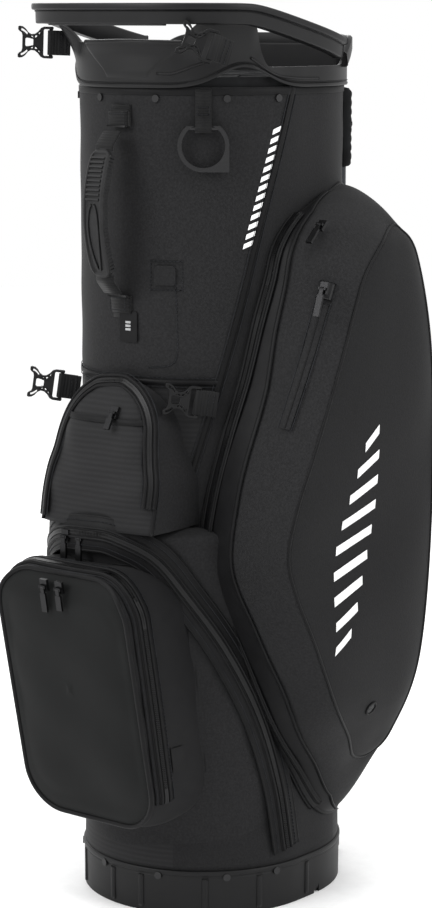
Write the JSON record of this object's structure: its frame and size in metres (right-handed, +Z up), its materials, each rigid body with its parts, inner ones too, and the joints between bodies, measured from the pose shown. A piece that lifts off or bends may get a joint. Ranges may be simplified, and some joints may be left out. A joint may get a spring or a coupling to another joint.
{
  "type": "golf stand bag",
  "caption": "Golf stand bag: moulded cuff with grab rim, full-length club dividers, zipped pockets, folding wire-driven legs and a hinged base foot.",
  "frame": {"origin": "centre of the base cup's resting face, on the axis of the body", "axes": "+Z up along the body, -Y towards the ball pocket at the front, +Y towards the legs, +X towards the large apparel pocket"},
  "size_m": [0.379, 0.4076, 0.9102],
  "materials": {
    "moulded_plastic": "satin moulded",
    "foot_plastic": "satin moulded",
    "steel": "drawn wire",
    "stay_fibreglass": "pultruded",
    "body_fabric": "woven, coated",
    "divider_fabric": "knitted",
    "grid_fabric": "padded knit",
    "cuff_plastic": "satin moulded",
    "pad_fabric": "mesh over foam",
    "webbing": "woven webbing",
    "grip_rubber": "moulded",
    "ring_metal": "satin",
    "rivet_metal": "satin",
    "tag_plastic": "printed",
    "patch_rubber": "moulded",
    "leg_aluminium": "anodised dark",
    "foot_rubber": "moulded",
    "buckle_plastic": "moulded acetal",
    "slider_metal": "gunmetal",
    "pull_plastic": "moulded",
    "pocket_fabric": "woven, coated"
  },
  "bodies": {
    "bag": {"base_cup": "moulded_plastic", "foot_hinge_pin": "steel", "stay_rods": "stay_fibreglass", "body_shell": "body_fabric", "divider_panels": "divider_fabric", "divider_grid": "grid_fabric", "cuff_collar": "cuff_plastic", "cuff_rim": "cuff_plastic", "leg_bracket": "moulded_plastic", "leg_pivot_pins": "steel", "hip_pad": "pad_fabric", "valuables_pocket": "pocket_fabric", "lower_front_pocket": "pocket_fabric", "ball_pocket": "pocket_fabric", "apparel_pocket": "pocket_fabric", "side_pocket": "pocket_fabric", "handle_anchors": "webbing", "towel_ring_webbing": "webbing", "rivets": "rivet_metal", "name_tag": "tag_plastic", "glove_patch": "patch_rubber"},
    "right_leg": {"leg_knuckle_right": "moulded_plastic", "leg_tube_right": "leg_aluminium", "leg_foot_right": "foot_rubber"},
    "left_leg": {"leg_knuckle_left": "moulded_plastic", "leg_tube_left": "leg_aluminium", "leg_foot_left": "foot_rubber"},
    "actuator": {"actuator_wire": "steel"},
    "foot": {"base_foot": "foot_plastic"},
    "carry_handle": {"handle_webbing": "webbing", "handle_grip": "grip_rubber"},
    "towel_ring_body": {"towel_ring": "ring_metal"},
    "webbing_upper_left": {"strap_upper_left": "webbing"},
    "socket_upper_left": {"buckle_upper_left": "buckle_plastic"},
    "webbing_upper_right": {"strap_upper_right": "webbing"},
    "socket_upper_right": {"buckle_upper_right": "buckle_plastic"},
    "webbing_mid_left": {"strap_mid_left": "webbing"},
    "socket_mid_left": {"buckle_mid_left": "buckle_plastic"},
    "webbing_mid_right": {"strap_mid_right": "webbing"},
    "socket_mid_right": {"buckle_mid_right": "buckle_plastic"},
    "zip_valuables": {"slider_valuables": "slider_metal"},
    "tab_valuables": {"pull_valuables": "pull_plastic"},
    "zip_front_left": {"slider_front_left": "slider_metal"},
    "tab_front_left": {"pull_front_left": "pull_plastic"},
    "zip_front_right": {"slider_front_right": "slider_metal"},
    "tab_front_right": {"pull_front_right": "pull_plastic"},
    "zip_ball_left": {"slider_ball_left": "slider_metal"},
    "tab_ball_left": {"pull_ball_left": "pull_plastic"},
    "zip_ball_right": {"slider_ball_right": "slider_metal"},
    "tab_ball_right": {"pull_ball_right": "pull_plastic"},
    "zip_apparel": {"slider_apparel": "slider_metal"},
    "tab_apparel": {"pull_apparel": "pull_plastic"},
    "zip_stash": {"slider_stash": "slider_metal"},
    "tab_stash": {"pull_stash": "pull_plastic"}
  },
  "joints": [
    {"name": "right_leg_swing", "type": "hinge", "parent": "bag", "child": "right_leg", "pos_m": [0.0575, 0.1283, 0.792], "axis": [0.9063, -0.4226, 0], "range_deg": [0, 30]},
    {"name": "left_leg_swing", "type": "hinge", "parent": "bag", "child": "left_leg", "pos_m": [-0.0575, 0.1283, 0.792], "axis": [0.9063, 0.4226, 0], "range_deg": [0, 30.01]},
    {"name": "actuator_rise", "type": "slide", "parent": "bag", "child": "actuator", "axis": [0, 0, 1], "range_m": [0, 0.01262]},
    {"name": "foot_tilt", "type": "hinge", "parent": "bag", "child": "foot", "pos_m": [0, 0.022, 0.011], "axis": [1, 0, 0], "range_deg": [0, 5.99]},
    {"name": "handle_swing", "type": "hinge", "parent": "bag", "child": "carry_handle", "pos_m": [0, -0.1526, 0.7085], "axis": [0, 0, 1], "range_deg": [-30, 30]},
    {"name": "towel_ring_swing", "type": "hinge", "parent": "bag", "child": "towel_ring_body", "pos_m": [0.08301, -0.1137, 0.791], "axis": [-0.7716, -0.6361, 0], "range_deg": [0, 110]},
    {"name": "strap_upper_left_swing", "type": "hinge", "parent": "bag", "child": "webbing_upper_left", "pos_m": [-0.101, -0.1, 0.87], "axis": [0.0267, 0.0224, 0.9994], "range_deg": [-30, 26]},
    {"name": "buckle_upper_left_swing", "type": "hinge", "parent": "webbing_upper_left", "child": "socket_upper_left", "pos_m": [-0.11631, -0.11285, 0.8707], "axis": [0.0267, 0.0224, 0.9994], "range_deg": [-40, 28]},
    {"name": "strap_upper_right_swing", "type": "hinge", "parent": "bag", "child": "webbing_upper_right", "pos_m": [0.126, -0.126, 0.862], "axis": [0.117, 0.3214, 0.9397], "range_deg": [0, 35]},
    {"name": "buckle_upper_right_swing", "type": "hinge", "parent": "webbing_upper_right", "child": "socket_upper_right", "pos_m": [0.11957, -0.14366, 0.86884], "axis": [0.117, 0.3214, 0.9397], "range_deg": [0, 40]},
    {"name": "strap_mid_left_swing", "type": "hinge", "parent": "bag", "child": "webbing_mid_left", "pos_m": [-0.081, -0.112, 0.524], "axis": [0.1066, 0.0895, 0.9903], "range_deg": [-30, 30]},
    {"name": "buckle_mid_left_swing", "type": "hinge", "parent": "webbing_mid_left", "child": "socket_mid_left", "pos_m": [-0.09617, -0.12473, 0.52678], "axis": [0.1066, 0.0895, 0.9903], "range_deg": [-40, 40]},
    {"name": "strap_mid_right_swing", "type": "hinge", "parent": "bag", "child": "webbing_mid_right", "pos_m": [0.096, -0.108, 0.523], "axis": [0.1001, 0.0967, 0.9903], "range_deg": [-2, 50]},
    {"name": "buckle_mid_right_swing", "type": "hinge", "parent": "webbing_mid_right", "child": "socket_mid_right", "pos_m": [0.08175, -0.12176, 0.52578], "axis": [0.1001, 0.0967, 0.9903], "range_deg": [-3, 40]},
    {"name": "zip_valuables_slide", "type": "slide", "parent": "bag", "child": "zip_valuables", "axis": [1, 0, 0], "range_m": [-0.012, 0.02]},
    {"name": "pull_valuables_swing", "type": "hinge", "parent": "zip_valuables", "child": "tab_valuables", "pos_m": [0.016, -0.17285, 0.51558], "axis": [-1, 0, 0], "range_deg": [0, 120]},
    {"name": "zip_front_left_slide", "type": "slide", "parent": "bag", "child": "zip_front_left", "axis": [1, 0, 0], "range_m": [-0.04, 0]},
    {"name": "pull_front_left_swing", "type": "hinge", "parent": "zip_front_left", "child": "tab_front_left", "pos_m": [-0.028, -0.1966, 0.39], "axis": [-1, 0, 0], "range_deg": [0, 120]},
    {"name": "zip_front_right_slide", "type": "slide", "parent": "bag", "child": "zip_front_right", "axis": [1, 0, 0], "range_m": [0, 0.04]},
    {"name": "pull_front_right_swing", "type": "hinge", "parent": "zip_front_right", "child": "tab_front_right", "pos_m": [-0.008, -0.1966, 0.39], "axis": [-1, 0, 0], "range_deg": [0, 120]},
    {"name": "zip_ball_left_slide", "type": "slide", "parent": "bag", "child": "zip_ball_left", "axis": [1, 0, 0], "range_m": [-0.03, 0]},
    {"name": "pull_ball_left_swing", "type": "hinge", "parent": "zip_ball_left", "child": "tab_ball_left", "pos_m": [-0.014, -0.24308, 0.34916], "axis": [-1, 0, 0], "range_deg": [0, 120]},
    {"name": "zip_ball_right_slide", "type": "slide", "parent": "bag", "child": "zip_ball_right", "axis": [1, 0, 0], "range_m": [0, 0.04]},
    {"name": "pull_ball_right_swing", "type": "hinge", "parent": "zip_ball_right", "child": "tab_ball_right", "pos_m": [0.006, -0.24308, 0.34916], "axis": [-1, 0, 0], "range_deg": [0, 120]},
    {"name": "zip_apparel_slide", "type": "slide", "parent": "bag", "child": "zip_apparel", "axis": [0, -0.7071, -0.7071], "range_m": [0, 0.05]},
    {"name": "pull_apparel_swing", "type": "hinge", "parent": "zip_apparel", "child": "tab_apparel", "pos_m": [0.164, -0.03495, 0.69812], "axis": [-1, 0, 0], "range_deg": [0, 120]},
    {"name": "zip_stash_slide", "type": "slide", "parent": "bag", "child": "zip_stash", "axis": [0, -0.3256, -0.9455], "range_m": [0, 0.08]},
    {"name": "pull_stash_swing", "type": "hinge", "parent": "zip_stash", "child": "tab_stash", "pos_m": [0.19, -0.06438, 0.63974], "axis": [-1, 0, 0], "range_deg": [0, 120]}
  ],
  "couplings": [
    {"joint": "left_leg_swing", "follows": "right_leg_swing", "ratio": 1},
    {"joint": "actuator_rise", "follows": "right_leg_swing", "m_per_rad": 0.023727},
    {"joint": "foot_tilt", "follows": "right_leg_swing", "ratio": 0.19643}
  ]
}
